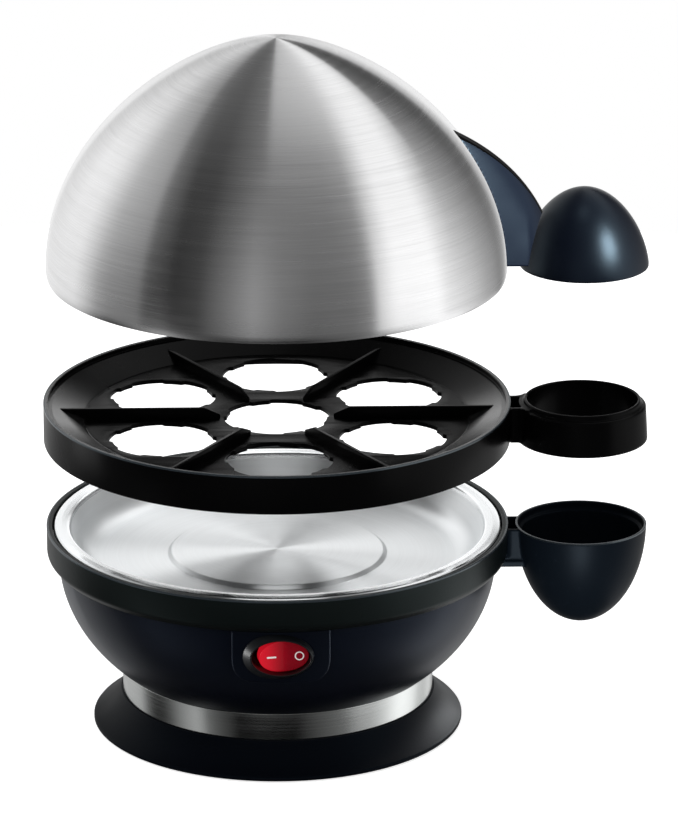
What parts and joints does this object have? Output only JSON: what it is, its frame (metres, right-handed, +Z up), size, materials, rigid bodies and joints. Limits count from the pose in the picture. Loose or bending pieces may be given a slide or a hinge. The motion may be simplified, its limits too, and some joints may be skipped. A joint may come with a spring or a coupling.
{
  "type": "egg cooker",
  "caption": "Electric egg cooker with a domed steel lid and a holed egg tray lifted above its heated base, each ending in part of an egg-shaped handle.",
  "frame": {"origin": "on the cooker's axis, on the surface that it stands on, directly under the flat pad in the middle of the bottom cover", "axes": "+Z up along the axis, +X towards the egg-shaped handle, -Y towards the switch"},
  "size_m": [0.2296, 0.1772, 0.2704],
  "materials": {
    "brushed_steel": "circular brushed",
    "pan_steel": "spun",
    "plain_steel": "plain",
    "satin_black": "satin",
    "navy_black": "semi-gloss",
    "tray_black": "satin",
    "cover_black": "matte",
    "soft_black": "matte",
    "seal_white": "matte",
    "red_gloss": "gloss",
    "brass": "plain",
    "aluminium": "plain",
    "white_plastic": "matte",
    "lamp_glass": "clear"
  },
  "bodies": {
    "base": {"steel_band": "brushed_steel", "water_pan": "pan_steel", "heating_element": "plain_steel", "thermostat_clip": "plain_steel", "fuse_clip": "plain_steel", "mounting_bridge": "plain_steel", "shield_nut_left": "plain_steel", "shield_nut_right": "plain_steel", "pan_nut_left": "plain_steel", "pan_nut_right": "plain_steel", "bridge_screw_left": "plain_steel", "bridge_screw_right": "plain_steel", "clamp_screw_left": "plain_steel", "clamp_screw_right": "plain_steel", "cover_screw_1": "plain_steel", "cover_screw_2": "plain_steel", "cover_screw_3": "plain_steel", "cover_screw_4": "plain_steel", "collar": "satin_black", "switch_panel": "satin_black", "switch_bezel": "satin_black", "bowl": "navy_black", "foot_skirt": "navy_black", "bottom_cover": "cover_black", "thermostat": "cover_black", "cord_clamp": "cover_black", "switch_body": "cover_black", "rubber_foot_right": "soft_black", "rubber_foot_back": "soft_black", "rubber_foot_left": "soft_black", "rubber_foot_front": "soft_black", "cord_gland": "soft_black", "live_lead": "soft_black", "neutral_lead": "soft_black", "pan_seal": "seal_white", "earth_tag": "brass", "earth_lead": "brass", "switch_terminal_left": "brass", "switch_terminal_middle": "brass", "switch_terminal_right": "brass", "heater_plate": "aluminium", "heat_shield": "aluminium", "thermal_fuse": "white_plastic", "terminal_block": "white_plastic", "switched_lead": "white_plastic", "neon_lamp": "lamp_glass"},
    "lid": {"lid_dome": "brushed_steel", "lid_handle": "satin_black", "handle_screw_lower": "plain_steel", "handle_screw_upper": "plain_steel"},
    "tray": {"egg_tray": "tray_black"},
    "rocker": {"switch_rocker": "red_gloss"},
    "lever": {"contact_lever": "brass"}
  },
  "joints": [
    {"name": "tray_lift", "type": "slide", "parent": "base", "child": "tray", "axis": [0, 0, 1], "range_m": [-0.034, 0]},
    {"name": "lid_lift", "type": "slide", "parent": "tray", "child": "lid", "axis": [0, 0, 1], "range_m": [-0.052, 0]},
    {"name": "switch_rock", "type": "hinge", "parent": "base", "child": "rocker", "pos_m": [0, -0.0786, 0.056], "axis": [0, 0, 1], "range_deg": [-20, 0]},
    {"name": "contact_rock", "type": "hinge", "parent": "base", "child": "lever", "pos_m": [0, -0.07325, 0.056], "axis": [0, 0, 1], "range_deg": [0, 16]}
  ],
  "couplings": [
    {"joint": "contact_rock", "follows": "switch_rock", "ratio": -0.8}
  ]
}
